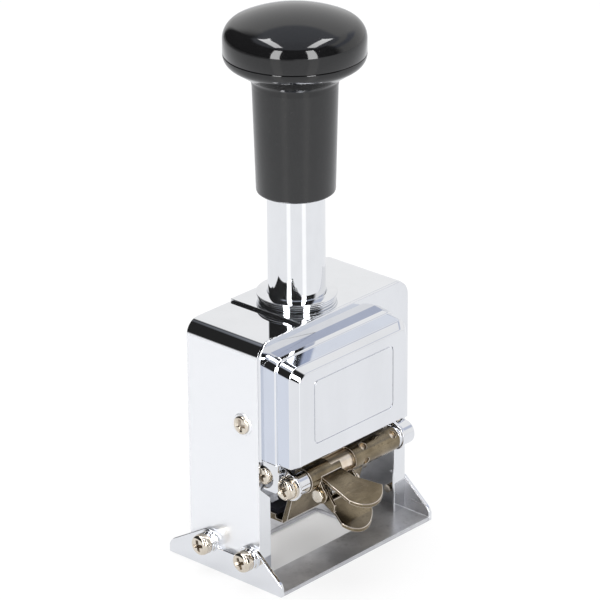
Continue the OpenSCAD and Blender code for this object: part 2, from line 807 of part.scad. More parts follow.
module arm_screws() color("tan") {
  seat_l = arm_l - 3.2;
  seat_r = arm_r + arm_t + 4.2;
  difference() {
    union() {
      mirror([1, 0, 0]) pan_head(-seat_l, 1.7, 2.75, -arm_y, arm_z);
      along_x(seat_l - 0.1, 7, 1.2, -arm_y, arm_z);
    }
    cross_slot(seat_l - 2.6, 1.8, 0.6, 3, -arm_y, arm_z);
  }
  difference() {
    union() {
      pan_head(seat_r, 1.7, 2.75, -arm_y, arm_z);
      along_x(arm_r - 2.9, seat_r - arm_r + 3, 1.2, -arm_y, arm_z);
    }
    cross_slot(seat_r + 0.8, 1.8, 0.6, 3, -arm_y, arm_z);
  }
}

module arm_nuts() color("silver")
  for (x = [arm_l + 2, arm_r - 2.6])
    difference() {
      translate([x, -arm_y, arm_z]) rotate([0, 90, 0]) cylinder(h = 1.6, r = 2.5, $fn = 6);
      along_x(x - 1, 4, 1.2, -arm_y, arm_z);
    }

module hinge_rod() color("silver") along_x(arm_l, arm_r + arm_t + 4 - arm_l, rod_r, -rod_y, rod_z);

module rod_screw() color("tan")
  difference() {
    union() {
      mirror([1, 0, 0]) pan_head(0.6 - arm_l, 2.4, 3.15, -rod_y, rod_z);
      along_x(arm_l - 0.6, 0.6, 3.5, -rod_y, rod_z);
    }
    cross_slot(arm_l - 3.8, 2, 0.7, 3.6, -rod_y, rod_z);
  }

module hinge_sleeve() color("burlywood")
  difference() {
    along_x(arm_l + 5.2, arm_r - arm_l - 6.1, tube_r - ink_t - run, -rod_y, rod_z);
    along_x(arm_l, arm_r - arm_l + 2, rod_r, -rod_y, rod_z);
  }

// ---- swinging ink holder ----

tube_l = arm_l + 5.4;
tube_len = arm_r - arm_l - 6.5;
tray_l = -pack_left - 3 * pitch - 1.7;
tray_r = -pack_left + 3 * pitch + 1.4;
tray_z = pad_top - 2.4;

// side view of the web and tray behind the hinge tube
module web_outline()
  polygon([
    [-rod_y + 1.2, rod_z - 3.2], [-rod_y + 3.2, rod_z - 1.2], [-12.2, tray_z + 0.8], [4, tray_z + 0.8],
    [4, tray_z], [-12.9, tray_z], [-14.2, tray_z + 1.2], [-rod_y + 2.5, rod_z - 3.4]
  ]);

// upper finger lever: falls forward from the tube and widens to its rounded lip
lever_tilt = 18;
lever_len = 12.3;
lever_y = -rod_y - 3.2;
lever_z = rod_z + 1.1;
neck_w = lever_w - 5;

// side view of a bent lever: sheet t thick that falls at angle a, then runs on at a steeper angle b
module bent_side(y, z, a, len, b, t) {
  y2 = y - len * cos(a);
  z2 = z - len * sin(a);
  m = t / cos((b - a) / 2);
  polygon([
    [y, z], [y2, z2], [y2 - 6 * cos(b), z2 - 6 * sin(b)],
    [y2 - 6 * cos(b) + t * sin(b), z2 - 6 * sin(b) - t * cos(b)],
    [y2 + m * sin((a + b) / 2), z2 - m * cos((a + b) / 2)], [y + t * sin(a), z - t * cos(a)]
  ]);
}

// rounded tip of a lever seen from above: width at the chord, depth beyond it, with its middle at x = 0
module round_tip(width, depth, y) {
  r = (width * width / 4 + depth * depth) / (2 * depth);
  translate([0, y - depth + r]) circle(r);
  translate([-width / 2 - 0.3, y - depth + r]) square([width + 0.6, 30]);
}

module ink_holder() color("sienna") {
  difference() {
    union() {
      along_x(tube_l, tube_len, tube_r, -rod_y, rod_z);
      // web, relieved round the boss of the left arm
      difference() {
        slab_x(tray_l + 0.1, tray_r - tray_l - 0.8) web_outline();
        along_x(tray_l - 1, tube_l - tray_l + 1, tube_r + 0.4, -rod_y, rod_z);
      }
      // tray floor and its end lips
      translate([tray_l, -12.4, tray_z]) cube([tray_r - tray_l, 16.4, ink_t]);
      for (x = [tray_l, tray_r - 0.6])
        translate([x, -10, tray_z]) cube([0.6, 14, 2]);
      // ears for the clip pin
      for (x = [-lever_left, lever_w - lever_left - ink_t])
        slab_x(x, ink_t) {
          translate([-pin_y, pin_z]) circle(2.6);
          polygon([
            [-pin_y - 2.6, pin_z], [-rod_y - 3.4, rod_z], [-rod_y, rod_z], [-rod_y + 2.4, rod_z - 3],
            [-pin_y + 2.6, pin_z]
          ]);
        }
      intersection() {
        slab_x(-lever_left - 1, lever_w + 2)
          bent_side(lever_y, lever_z, lever_tilt, lever_len, lever_tilt + 14, ink_t + 0.1);
        translate([-lever_left + lever_w / 2, lever_y, rod_z - 15]) linear_extrude(20)
          intersection() {
            translate([-lever_w / 2, 0])
              polygon([
                [0.6, 1], [neck_w, 1], [neck_w, 0], [neck_w + 0.6, -4.8],
                [2 * lever_w - neck_w - 0.6, -17.8], [-0.32, -17.8]
              ]);
            round_tip(lever_w, 3.4, -11.3);
          }
      }
    }
    along_x(tube_l - 2, tube_len + 4, tube_r - ink_t, -rod_y, rod_z);
    // cut-out that shows the sleeve, stepped round the neck of the lever
    translate([neck_w - lever_left - 3, -rod_y - 2.4, rod_z + 1.9]) cube([9.3, 3.4, 7]);
    translate([neck_w - lever_left + 0.6, -rod_y - 6, rod_z - 1.2]) cube([5.7, 5.6, 7]);
    // holes in the tube, given as place along the rod and angle above the front
    for (h = [[3.4, 59], [3.2, -20], [arm_r - 3.1, 45]])
      translate([h[0], -rod_y, rod_z]) rotate([-h[1], 0, 0]) rotate([90, 0, 0])
        translate([0, 0, 2]) cylinder(h = 4, r = 1.15);
    along_x(-20, 30, 1, -pin_y, pin_z);
  }
}

module ink_pad() color("midnightblue")
  translate([tray_l + 1.6, -9, tray_z + ink_t])
    cube([tray_r - tray_l - 3.2, 12.4, pad_top - tray_z - ink_t]);

clip_l = -lever_left + ink_t + 0.35;
clip_w = lever_w - 2 * ink_t - 0.7;
clip_tilt = 31;
clip_len = 7.9;
clip_lip = clip_w + 1.4;
// the eyes of the lower lever clear the hinge tube
eye_r = norm([pin_y - rod_y, rod_z - pin_z]) - tube_r - 0.33;

module clip_lever() color("peru") {
  difference() {
    union() {
      for (x = [clip_l, clip_l + clip_w - ink_t])
        slab_x(x, ink_t) {
          translate([-pin_y, pin_z]) circle(eye_r);
          polygon([
            [-pin_y - 1.2, pin_z + 1.9], [-pin_y - 4.6, pin_z - 2.4], [-pin_y - 4.4, pin_z - 4.6],
            [-pin_y - 1.5, pin_z - 3.4], [-pin_y + 1.4, pin_z - 2.6], [-pin_y + 2, pin_z]
          ]);
        }
      // plate that falls forward and widens to its lip
      intersection() {
        slab_x(clip_l - 2, clip_w + 4)
          bent_side(-pin_y - 1.3, pin_z - 2.4, clip_tilt, clip_len, clip_tilt + 13, ink_t);
        translate([clip_l + clip_w / 2, -pin_y - 1.5, pin_z - 12]) linear_extrude(14)
          intersection() {
            polygon([
              [-clip_w / 2 + 0.1, 1], [clip_w / 2 - 0.1, 1], [clip_w / 2 - 0.1, -3.3],
              [clip_w / 2 + 2.3, -12.6], [-clip_w / 2 - 2.3, -12.6], [-clip_w / 2 + 0.1, -3.3]
            ]);
            round_tip(clip_lip, 2.8, -6.4);
          }
      }
      slab_x(clip_l, clip_w)
        polygon([
          [-pin_y - 1.6, pin_z - 3.2], [-pin_y + 1.6, pin_z - 2.6], [-pin_y + 1.6, pin_z - 2],
          [-pin_y - 1.6, pin_z - 2.5]
        ]);
    }
    along_x(-20, 30, 1 + run, -pin_y, pin_z);
  }
}

module clip_pin() color("tan") {
  along_x(-lever_left - 0.6, lever_w + 1.2, 1, -pin_y, pin_z);
  along_x(-lever_left - 1.2, 1.2, 1.9, -pin_y, pin_z);
  along_x(lever_w - lever_left, 1.2, 1.9, -pin_y, pin_z);
}

// torsion spring round the pin: closed turns and two legs
module clip_spring() color("lightsteelblue") {
  for (k = [0:5])
    translate([clip_l + 2 + k * 0.7, -pin_y, pin_z]) rotate([0, 90, 0])
      rotate_extrude($fn = 36) translate([1.5, 0]) circle(0.36, $fn = 14);
  translate([clip_l + 2, -pin_y, pin_z + 1.5]) rotate([80, 0, 0]) cylinder(h = 5, r = 0.3);
  translate([clip_l + 5.5, -pin_y, pin_z - 1.5]) rotate([90, 0, 0]) cylinder(h = 1.5, r = 0.3);
}

base_channel();
base_washers();
base_screws();
sunk_screws();
base_nuts();
left_shell();
right_shell();
front_plate();
face_cover();
rear_plate();
wall_cups();
wall_screws();
guide_bracket_left();
guide_bracket_right();
guide_rods();
return_springs();
collar_bush();
collar_nut();
knob_cap();
knob_flare();
grip_sleeve();
plunger_stem();
stem_nut();
crosshead();
left_cheek();
right_cheek();
selector_plate();
cheek_screws();
wheel_shaft();
shaft_clips();
number_wheel_1();
number_wheel_2();
number_wheel_3();
number_wheel_4();
number_wheel_5();
number_wheel_6();
detent_bar();
detent_fingers();
detent_spring();
feed_rocker();
feed_pawls();
repeat_selector();
ink_arm_left();
ink_arm_right();
arm_washers();
arm_screws();
arm_nuts();
hinge_rod();
rod_screw();
hinge_sleeve();
ink_holder();
ink_pad();
clip_lever();
clip_pin();
clip_spring();
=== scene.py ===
import json
import math

import bpy
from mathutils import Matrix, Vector


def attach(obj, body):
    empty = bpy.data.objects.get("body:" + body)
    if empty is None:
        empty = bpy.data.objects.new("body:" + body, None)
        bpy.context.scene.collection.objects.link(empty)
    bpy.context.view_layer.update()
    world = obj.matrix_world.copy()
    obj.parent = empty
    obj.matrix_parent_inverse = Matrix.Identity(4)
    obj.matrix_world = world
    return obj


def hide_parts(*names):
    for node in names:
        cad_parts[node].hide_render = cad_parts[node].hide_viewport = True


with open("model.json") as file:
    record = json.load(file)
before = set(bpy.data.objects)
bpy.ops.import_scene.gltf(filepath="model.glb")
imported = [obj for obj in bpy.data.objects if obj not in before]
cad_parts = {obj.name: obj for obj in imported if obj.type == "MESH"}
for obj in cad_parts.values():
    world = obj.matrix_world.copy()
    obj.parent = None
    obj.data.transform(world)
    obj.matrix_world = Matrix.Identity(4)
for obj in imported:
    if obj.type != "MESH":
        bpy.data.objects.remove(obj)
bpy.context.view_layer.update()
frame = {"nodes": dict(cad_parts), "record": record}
cadNodes = frame["nodes"]
mm = 0.001
bend = 30  # degrees; edges that turn more than this stay sharp
print("frame loaded:", len(cadNodes), "nodes")


def pick(piece):  # make one object the only selected one
    bpy.ops.object.select_all(action="DESELECT")
    piece.hide_set(False)
    piece.select_set(True)
    bpy.context.view_layer.objects.active = piece


def edit(piece):
    pick(piece)
    bpy.ops.object.mode_set(mode="EDIT")


def leave():
    bpy.ops.object.mode_set(mode="OBJECT")


def selectFaces(piece, test):  # in edit mode: only the faces whose middle and normal pass the test
    bpy.ops.mesh.select_mode(type="FACE")
    bpy.ops.mesh.select_all(action="DESELECT")
    leave()
    for face in piece.data.polygons:
        face.select = bool(test(face.center, face.normal))
    bpy.ops.object.mode_set(mode="EDIT")


def selectEdges(piece, test):  # in edit mode: only the edges whose two ends pass the test
    bpy.ops.mesh.select_mode(type="EDGE")
    bpy.ops.mesh.select_all(action="DESELECT")
    leave()
    points = piece.data.vertices
    for edge in piece.data.edges:
        edge.select = bool(test(points[edge.vertices[0]].co, points[edge.vertices[1]].co))
    bpy.ops.object.mode_set(mode="EDIT")


def selectPoints(piece, test):  # in edit mode: only the points that pass the test
    bpy.ops.mesh.select_mode(type="VERT")
    bpy.ops.mesh.select_all(action="DESELECT")
    leave()
    for point in piece.data.vertices:
        point.select = bool(test(point.co))
    bpy.ops.object.mode_set(mode="EDIT")


def modify(piece, kind, **settings):
    pick(piece)
    modifier = piece.modifiers.new(kind.lower(), kind)
    for key, value in settings.items():
        setattr(modifier, key, value)
    bpy.ops.object.modifier_apply(modifier=modifier.name)


def breakEdges(piece, width, angle):  # small bevel on every edge sharper than the angle
    modify(piece, "BEVEL", width=width * mm, segments=2, limit_method="ANGLE",
           angle_limit=math.radians(angle), use_clamp_overlap=True)


def settle(piece, angle=32):  # bake the place into the mesh and shade it
    pick(piece)
    bpy.ops.object.transform_apply(location=True, rotation=True, scale=True)
    bpy.ops.object.shade_smooth_by_angle(angle=math.radians(angle))
    return piece


def smoothed(piece):
    pick(piece)
    bpy.ops.object.shade_smooth_by_angle(angle=math.radians(bend))
    modify(piece, "WEIGHTED_NORMAL", keep_sharp=True, weight=80)
    return piece


def faceOut(piece):
    edit(piece)
    bpy.ops.mesh.select_all(action="SELECT")
    bpy.ops.mesh.remove_doubles(threshold=0.000002)
    bpy.ops.mesh.normals_make_consistent(inside=False)
    leave()


def turned(name, rings, sides):  # rings are (radius, height) in mm, turned about Z
    bpy.ops.object.select_all(action="DESELECT")
    radius, height = rings[0]
    bpy.ops.mesh.primitive_circle_add(vertices=sides, radius=radius * mm, fill_type="NGON",
                                      location=(0, 0, height * mm))
    piece = bpy.context.object
    piece.name = name
    pick(piece)
    bpy.ops.object.transform_apply(location=True)
    edit(piece)
    bpy.ops.mesh.select_all(action="SELECT")
    for nextRadius, nextHeight in rings[1:]:
        bpy.ops.mesh.extrude_region_move(
            TRANSFORM_OT_translate={"value": (0, 0, (nextHeight - height) * mm)})
        grow = nextRadius / radius
        bpy.ops.transform.resize(value=(grow, grow, 1), center_override=(0, 0, nextHeight * mm))
        radius, height = nextRadius, nextHeight
    leave()
    faceOut(piece)
    return piece


def block(name, low, high):  # box between two corners in mm
    bpy.ops.object.select_all(action="DESELECT")
    middle = [(a + b) / 2 * mm for a, b in zip(low, high)]
    bpy.ops.mesh.primitive_cube_add(size=1, location=middle)
    piece = bpy.context.object
    piece.name = name
    piece.scale = [(b - a) * mm for a, b in zip(low, high)]
    pick(piece)
    bpy.ops.object.transform_apply(location=True, rotation=True, scale=True)
    return piece


def roundCorners(piece, radius, segments, test):  # bevel the edges whose two ends pass the test
    edit(piece)
    selectEdges(piece, test)
    bpy.ops.mesh.bevel(offset=radius * mm, segments=segments, affect="EDGES", clamp_overlap=True)
    leave()


def joined(name, pieces):
    bpy.ops.object.select_all(action="DESELECT")
    for piece in pieces:
        piece.select_set(True)
    bpy.context.view_layer.objects.active = pieces[0]
    bpy.ops.object.join()
    piece = bpy.context.object
    piece.name = name
    return piece


def cutAway(piece, tool):
    modify(piece, "BOOLEAN", operation="DIFFERENCE", object=tool, solver="EXACT")
    bpy.data.objects.remove(tool)


def place(piece, paint, body, slot, *nodes):
    if paint is not None:  # None keeps the paints the piece was made with
        piece.data.materials.clear()
        piece.data.materials.append(paint)
    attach(piece, body)
    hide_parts(*nodes)


# copy of a CAD piece with its points merged and its flat faces joined
def drawn(name, node):
    source = cadNodes[node]
    piece = bpy.data.objects.new(name, source.data.copy())
    bpy.context.scene.collection.objects.link(piece)
    for key in list(piece.data.keys()):
        del piece.data[key]
    piece.data.materials.clear()
    pick(piece)
    bpy.ops.mesh.customdata_custom_splitnormals_clear()
    edit(piece)
    bpy.ops.mesh.select_all(action="SELECT")
    bpy.ops.mesh.remove_doubles(threshold=0.000003)
    bpy.ops.mesh.dissolve_limited(angle_limit=math.radians(0.4))
    leave()
    return piece


# the same copy with its edges broken, so that they catch the light
def broken(name, node, width, segments=2, paints=()):
    piece = drawn(name, node)
    for paint in paints:  # the second paint goes on the broken edges (the bronze pieces give them a lighter painted highlight)
        piece.data.materials.append(paint)
    modify(piece, "BEVEL", width=width * mm, segments=segments, limit_method="ANGLE",
           angle_limit=math.radians(bend), use_clamp_overlap=False, material=1 if paints else -1,
           harden_normals=False, miter_outer="MITER_ARC")
    return smoothed(piece)


# a socket that can be reckoned with: every expression adds its Math nodes
class Wire:
    def __init__(self, graph, socket):
        self.graph = graph
        self.socket = socket

    def calc(self, operation, *values):
        return self.graph.add("ShaderNodeMath", {"operation": operation}, list(values))

    def __add__(self, other):
        return self.calc("ADD", self, other)

    def __radd__(self, other):
        return self.calc("ADD", other, self)

    def __sub__(self, other):
        return self.calc("SUBTRACT", self, other)

    def __rsub__(self, other):
        return self.calc("SUBTRACT", other, self)

    def __mul__(self, other):
        return self.calc("MULTIPLY", self, other)

    def __rmul__(self, other):
        return self.calc("MULTIPLY", other, self)

    def __truediv__(self, other):
        return self.calc("DIVIDE", self, other)

    def __pow__(self, other):
        return self.calc("POWER", self, other)

    def __abs__(self):
        return self.calc("ABSOLUTE", self)

    def within(self, low, high):  # 0 below low, 1 above high, smooth between
        return self.graph.add(
            "ShaderNodeMapRange", {"interpolation_type": "SMOOTHSTEP"},
            {"Value": self, "From Min": low, "From Max": high, "To Min": 0.0, "To Max": 1.0})


class Graph:
    def __init__(self, tree):
        self.tree = tree
        tree.nodes.clear()

    def add(self, kind, settings, sockets, out=0):
        node = self.tree.nodes.new(kind)
        for key, value in settings.items():
            setattr(node, key, value)
        for key, value in enumerate(sockets) if isinstance(sockets, list) else sockets.items():
            if isinstance(value, Wire):
                self.tree.links.new(value.socket, node.inputs[key])
            else:
                node.inputs[key].default_value = value
        return Wire(self, node.outputs[out]) if node.outputs else None

    def blend(self, factor, first, second):
        return self.add("ShaderNodeMix", {"data_type": "RGBA"}, {0: factor, 6: first, 7: second}, 2)

    def noise(self, spot, scale, detail=2.0, rough=0.5):
        return self.add("ShaderNodeTexNoise", {}, {
            "Vector": spot, "Scale": scale, "Detail": detail, "Roughness": rough})

    def stretch(self, spot, scale, turn=(0, 0, 0)):
        return self.add("ShaderNodeMapping", {}, {"Vector": spot, "Scale": scale, "Rotation": turn})

    def axes(self, spot):  # the X, Y and Z of a vector
        parts = self.add("ShaderNodeSeparateXYZ", {}, {"Vector": spot})
        return [Wire(self, parts.socket.node.outputs[axis]) for axis in "XYZ"]

    def rays(self):  # 1 for what the camera sees itself, 1 for what is seen in a mirror
        path = self.add("ShaderNodeLightPath", {}, {})
        return path, Wire(self, path.socket.node.outputs["Is Glossy Ray"])


def paintOn(name):
    paint = bpy.data.materials.new(name)
    paint.use_nodes = True
    graph = Graph(paint.node_tree)
    spot = graph.add("ShaderNodeTexCoord", {}, {}, 3)  # Object coordinates
    return paint, graph, spot


def finishPaint(graph, sockets, height, depth):
    sockets["Normal"] = graph.add("ShaderNodeBump", {}, {
        "Height": height, "Distance": depth, "Strength": 1.0})
    shader = graph.add("ShaderNodeBsdfPrincipled", {}, sockets)
    graph.add("ShaderNodeOutputMaterial", {}, {"Surface": shader})


# polished metal with faint smears and specks
def chromePaint(name, look):
    paint, graph, spot = paintOn(name)
    smear = graph.noise(graph.stretch(spot, (1, 1, 0.45)), look["smearScale"], 5.0, 0.6)
    speck = graph.noise(spot, look["speckScale"], 1.0, 0.5).within(0.74, 0.8)
    tone = graph.blend(smear.within(0.35, 0.75), look["colour"], look["dull"])
    rough = look["roughness"] + smear.within(0.4, 0.8) * look["smear"] + speck * 0.12
    ripple = graph.noise(spot, look["rippleScale"], 1.0, 0.4)
    finishPaint(graph, {"Base Color": tone, "Metallic": 1.0, "Roughness": rough}, ripple, look["ripple"])
    return paint


chromeSheet = chromePaint("chromeSheet", {
    "colour": (0.84, 0.85, 0.875, 1), "dull": (0.80, 0.81, 0.835, 1), "roughness": 0.03,
    "smear": 0.05, "smearScale": 55.0, "speckScale": 2600.0, "rippleScale": 45.0,
    "ripple": 0.000012})


# bright bends and tops, satin on the flat side walls
def shellPaint(name, look):
    paint, graph, spot = paintOn(name)
    wall = abs(graph.axes(spot)[0]).within(*look["flat"])
    smear = graph.noise(graph.stretch(spot, (1, 1, 0.45)), look["smearScale"], 5.0, 0.6)
    tone = graph.blend(smear.within(0.35, 0.75), look["colour"], look["dull"])
    tone = graph.blend(wall, tone, look["wall"])
    rough = look["roughness"] + smear.within(0.4, 0.8) * look["smear"] + wall * look["satin"]
    ripple = graph.noise(spot, look["rippleScale"], 1.0, 0.4)
    finishPaint(graph, {"Base Color": tone, "Metallic": 1.0 - wall * look["soft"], "Roughness": rough},
                ripple, look["ripple"])
    return paint


chromeShell = shellPaint("chromeShell", {
    "colour": (0.86, 0.87, 0.89, 1), "dull": (0.82, 0.83, 0.85, 1), "wall": (0.89, 0.90, 0.925, 1),
    "flat": (0.03085, 0.03099), "roughness": 0.03, "smear": 0.04, "smearScale": 55.0, "satin": 0.2,
    "soft": 0.35, "rippleScale": 45.0, "ripple": 0.000008})


# chrome of the cover's side flats and lower ledge with a painted reflection: the blue-grey that these
# faces mirror is painted into its colour
def paintedReflectionPaint(name, look):
    paint, graph, spot = paintOn(name)
    smear = graph.noise(graph.stretch(spot, (1, 1, 0.3)), look["smearScale"], 4.0, 0.6)
    # the side colour is the painted blue-grey reflection; the smear noise streaks it darker
    tone = graph.blend(smear.within(0.4, 0.75) * 0.3, look["side"], look["streak"])
    rough = look["roughness"] + smear.within(0.4, 0.8) * look["smear"]
    finishPaint(graph, {"Base Color": tone, "Metallic": 1.0, "Roughness": rough}, smear, look["ripple"])
    return paint


chromePaintedReflection = paintedReflectionPaint("chromePaintedReflection", {
    "side": (0.69, 0.73, 0.82, 1), "streak": (0.62, 0.65, 0.73, 1), "roughness": 0.07,
    "smear": 0.06, "smearScale": 160.0, "ripple": 0.000004})
chromeTurned = chromePaint("chromeTurned", {
    "colour": (0.86, 0.87, 0.89, 1), "dull": (0.80, 0.81, 0.83, 1), "roughness": 0.035,
    "smear": 0.06, "smearScale": 90.0, "speckScale": 3000.0, "rippleScale": 70.0,
    "ripple": 0.000006})
nickelBright = chromePaint("nickelBright", {
    "colour": (0.80, 0.735, 0.635, 1), "dull": (0.66, 0.58, 0.48, 1), "roughness": 0.13,
    "smear": 0.14, "smearScale": 420.0, "speckScale": 4000.0, "rippleScale": 900.0,
    "ripple": 0.00003})
steelDull = chromePaint("steelDull", {
    "colour": (0.46, 0.46, 0.48, 1), "dull": (0.34, 0.34, 0.36, 1), "roughness": 0.28,
    "smear": 0.15, "smearScale": 160.0, "speckScale": 2500.0, "rippleScale": 500.0,
    "ripple": 0.00002})
# nickel darkened as painted shade, for the walls and floor of the screw recesses
recessPaintedShade = chromePaint("recessPaintedShade", {
    "colour": (0.46, 0.40, 0.33, 1), "dull": (0.30, 0.26, 0.21, 1), "roughness": 0.24,
    "smear": 0.12, "smearScale": 700.0, "speckScale": 4000.0, "rippleScale": 900.0,
    "ripple": 0.00002})
springWire = chromePaint("springWire", {
    "colour": (0.58, 0.57, 0.56, 1), "dull": (0.40, 0.38, 0.36, 1), "roughness": 0.2,
    "smear": 0.12, "smearScale": 500.0, "speckScale": 4000.0, "rippleScale": 1200.0,
    "ripple": 0.00001})
typeMetal = chromePaint("typeMetal", {
    "colour": (0.66, 0.66, 0.68, 1), "dull": (0.44, 0.44, 0.46, 1), "roughness": 0.24,
    "smear": 0.12, "smearScale": 260.0, "speckScale": 3000.0, "rippleScale": 700.0,
    "ripple": 0.00002})
brassSatin = chromePaint("brassSatin", {
    "colour": (0.80, 0.62, 0.33, 1), "dull": (0.58, 0.42, 0.20, 1), "roughness": 0.22,
    "smear": 0.12, "smearScale": 300.0, "speckScale": 3000.0, "rippleScale": 600.0,
    "ripple": 0.00002})
sleeveTan = chromePaint("sleeveTan", {
    "colour": (0.95, 0.84, 0.70, 1), "dull": (0.84, 0.71, 0.56, 1), "roughness": 0.3,
    "smear": 0.1, "smearScale": 240.0, "speckScale": 3000.0, "rippleScale": 600.0,
    "ripple": 0.00002})


# the channel: bright outside; greyer and cloudy where the mechanism stands, partly painted shade under it,
# partly stains and scratches
def channelPaint(name, look):
    paint, graph, spot = paintOn(name)
    across, deep, _ = graph.axes(spot)
    # inner: where the mechanism stands; its grey is painted shade mixed with real stains and wear
    inner = (1.0 - abs(across).within(*look["flange"])) * deep.within(*look["lip"])
    cloud = graph.noise(spot, 60.0, 5.0, 0.6)
    stain = graph.noise(spot, 420.0, 3.0, 0.6)
    scratch = graph.noise(graph.stretch(spot, (900, 60, 900), (0, 0, 0.4)), 1.0, 2.0, 0.6)
    shadedGrey = graph.blend(cloud.within(0.35, 0.7), look["shadedGrey"], look["light"])
    shadedGrey = graph.blend(stain.within(0.5, 0.75) * 0.4, shadedGrey, look["stain"])
    tone = graph.blend(inner, look["colour"], shadedGrey)
    scratched = scratch.within(0.62, 0.74) * inner
    rough = look["roughness"] + inner * look["worn"] + cloud * 0.06 + scratched * 0.08
    finishPaint(graph, {"Base Color": tone, "Metallic": 1.0 - inner * 0.25, "Roughness": rough},
                stain, look["ripple"])
    return paint


channelSteel = channelPaint("channelSteel", {
    "colour": (0.84, 0.85, 0.875, 1), "shadedGrey": (0.42, 0.42, 0.44, 1), "light": (0.66, 0.66, 0.68, 1),
    "stain": (0.30, 0.30, 0.31, 1), "roughness": 0.04, "worn": 0.24, "flange": (0.0309, 0.0312),
    "lip": (-0.0231, -0.0226), "ripple": 0.000006})


# brushed brown bronze with dark clouds and specks
def bronzePaint(name, look):
    paint, graph, spot = paintOn(name)
    cloud = graph.noise(spot, 130.0, 4.0, 0.55)
    brush = graph.noise(graph.stretch(spot, (60, 900, 900)), 1.0, 3.0, 0.6)
    tone = graph.blend(cloud.within(0.3, 0.7), look["colour"], look["dark"])
    tone = graph.blend(brush.within(0.55, 0.8) * 0.3, tone, look["bare"])
    speck = graph.noise(spot, 1500.0, 1.0, 0.5).within(0.6, 0.7)
    tone = graph.blend(speck * look["speck"], tone, look["dark"])
    rough = look["roughness"] + brush * 0.14 + cloud.within(0.5, 0.8) * 0.06
    finishPaint(graph, {"Base Color": tone, "Metallic": 1.0, "Roughness": rough}, brush, look["ripple"])
    return paint


bronzeSheet = bronzePaint("bronzeSheet", {
    "colour": (0.30, 0.245, 0.165, 1), "dark": (0.15, 0.118, 0.075, 1), "bare": (0.42, 0.355, 0.26, 1),
    "speck": 0.7, "roughness": 0.14, "ripple": 0.000012})
# lighter bronze for the broken edges: a painted highlight
bronzeEdgeHighlight = bronzePaint("bronzeEdgeHighlight", {
    "colour": (0.78, 0.72, 0.65, 1), "dark": (0.62, 0.54, 0.46, 1), "bare": (0.90, 0.87, 0.80, 1),
    "speck": 0.2, "roughness": 0.22, "ripple": 0.000012})


# moulded black plastic with haze, fine upright scuffs and a little dust
def plasticPaint(name, look):
    paint, graph, spot = paintOn(name)
    haze = graph.noise(spot, 70.0, 4.0, 0.6)
    scuff = graph.noise(graph.stretch(spot, (1400, 1400, 90)), 1.0, 2.0, 0.6).within(0.66, 0.8)
    speck = graph.noise(spot, 2200.0, 0.0, 0.5).within(0.79, 0.85)
    tone = graph.blend(speck * 0.12, look["colour"], look["dust"])
    rough = look["roughness"] + haze * look["haze"] + scuff * 0.03 + speck * 0.1
    finishPaint(graph, {
        "Base Color": tone, "Roughness": rough, "IOR": 1.52,
        "Coat Weight": look["coat"] + haze * 0.1, "Coat Roughness": 0.03},
        haze, look["ripple"])
    return paint


capBlack = plasticPaint("capBlack", {
    "colour": (0.0075, 0.0075, 0.008, 1), "dust": (0.10, 0.10, 0.10, 1), "roughness": 0.04,
    "haze": 0.05, "coat": 0.0, "ripple": 0.00001})
gripBlack = plasticPaint("gripBlack", {
    "colour": (0.014, 0.0142, 0.0148, 1), "dust": (0.10, 0.10, 0.10, 1), "roughness": 0.17,
    "haze": 0.1, "coat": 0.0, "ripple": 0.00002})


def feltPaint(name, look):
    paint, graph, spot = paintOn(name)
    fibre = graph.noise(graph.stretch(spot, (2400, 900, 1500), (0.3, 0.2, 0.6)), 1.0, 4.0, 0.7)
    soak = graph.noise(spot, 220.0, 2.0)
    tone = graph.blend(fibre, look["deep"], look["fibre"])
    tone = graph.blend(soak.within(0.4, 0.7) * 0.6, tone, look["soaked"])
    finishPaint(graph, {"Base Color": tone, "Roughness": 0.95 - soak * 0.45, "Sheen Weight": 0.3},
                fibre, look["nap"])
    return paint


inkFelt = feltPaint("inkFelt", {
    "deep": (0.012, 0.012, 0.03, 1), "fibre": (0.05, 0.05, 0.10, 1), "soaked": (0.008, 0.008, 0.018, 1),
    "nap": 0.00006})
print("finishes mixed")

# the CAD nodes that stay in sight take the finish of their slot
nodePaints = {
    "chrome_sheet": chromeSheet, "bright_steel": chromeTurned, "nickel_screw": nickelBright,
    "black_plastic": gripBlack, "cast_steel": steelDull, "spring_steel": springWire,
    "type_metal": typeMetal, "brass": brassSatin, "bronze_sheet": bronzeSheet,
    "tan_sleeve": sleeveTan, "ink_felt": inkFelt}
for entry in frame["record"]["subparts"]:
    mesh = cadNodes[entry["node"]].data
    mesh.materials.clear()
    mesh.materials.append(nodePaints[entry["material_slot"]])

handle = {"radius": 19.85, "seam": 147.3, "side": 3.95, "edge": 5.25, "dome": 39.9,  # cap
          "bowl": 3.6, "neck": 12.15, "neckHeight": 138.95, "hollow": 2, "steep": 56.5,  # flare
          "gripTop": 138, "gripLow": 106.7, "topRadius": 11.95, "lowRadius": 11.1,
          "sides": 160, "steps": 14, "angle": 40}


def capRings(s):  # upright side, rounded edge, dome
    r, seam, edge, steps = s["radius"], s["seam"], s["edge"], s["steps"]
    turn = math.asin((r - edge) / (s["dome"] - edge))
    edgeHeight = seam + s["side"]
    domeHeight = edgeHeight - (s["dome"] - edge) * math.cos(turn)
    rings = [(r - 1.2, seam + 0.03), (r - 0.3, seam + 0.03), (r - 0.08, seam + 0.06), (r, seam + 0.16)]
    for k in range(steps + 1):
        a = (math.pi / 2 - turn) * k / steps
        rings.append((r - edge + edge * math.cos(a), edgeHeight + edge * math.sin(a)))
    for k in range(steps - 1, 0, -1):
        a = turn * k / steps
        rings.append((s["dome"] * math.sin(a), domeHeight + s["dome"] * math.cos(a)))
    rings.append((0.3, domeHeight + s["dome"] - 0.001))
    return rings


